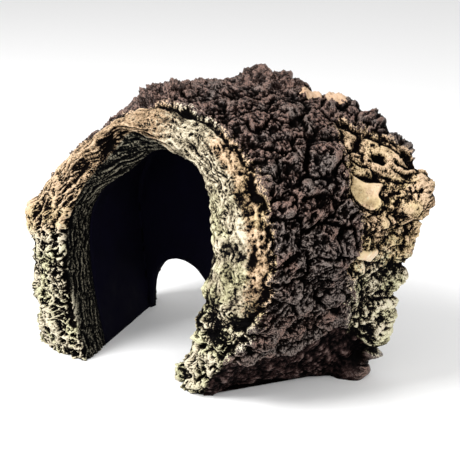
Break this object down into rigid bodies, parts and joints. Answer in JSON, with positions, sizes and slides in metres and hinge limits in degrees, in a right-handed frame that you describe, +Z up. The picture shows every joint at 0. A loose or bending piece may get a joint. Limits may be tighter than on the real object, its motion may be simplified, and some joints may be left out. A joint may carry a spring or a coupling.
{
  "type": "resin cave ornament",
  "caption": "Hollow bark-covered resin arch for a tank floor, with a tall pale-rimmed mouth in front and a low exit behind.",
  "frame": {"origin": "centre of the object's box on the plane that it stands on", "axes": "+Z up; -Y out of the tall front mouth, +Y out of the low rear exit; +X to the right as seen from the front"},
  "size_m": [0.155, 0.0778, 0.1142],
  "materials": {
    "pale_wood": "cast resin painted cream, with a black wash in the pits and tan on the ridges",
    "cave_lining": "cast resin painted matt black, with a grey dry-brushed band at the mouth",
    "back_bark": "cast resin painted as dark bark with cream showing along the edges",
    "dark_bark": "cast resin painted near black, dry-brushed reddish brown and grey, slightly glossy",
    "base_lip": "cast resin, smooth dark reddish brown with a soft sheen",
    "peach_wood": "cast resin painted peach over cream"
  },
  "bodies": {
    "root": {"front_rim": "pale_wood", "inner_shell": "cave_lining", "back_wall": "back_bark", "left_bark": "dark_bark", "crown_bark": "dark_bark", "side_bark_upper": "dark_bark", "side_bark_lower": "dark_bark", "rear_wood": "pale_wood", "base_lip": "base_lip", "front_knob": "dark_bark", "crown_knob": "dark_bark", "pale_chip_left": "peach_wood", "pale_chip_right": "peach_wood"}
  },
  "joints": []
}
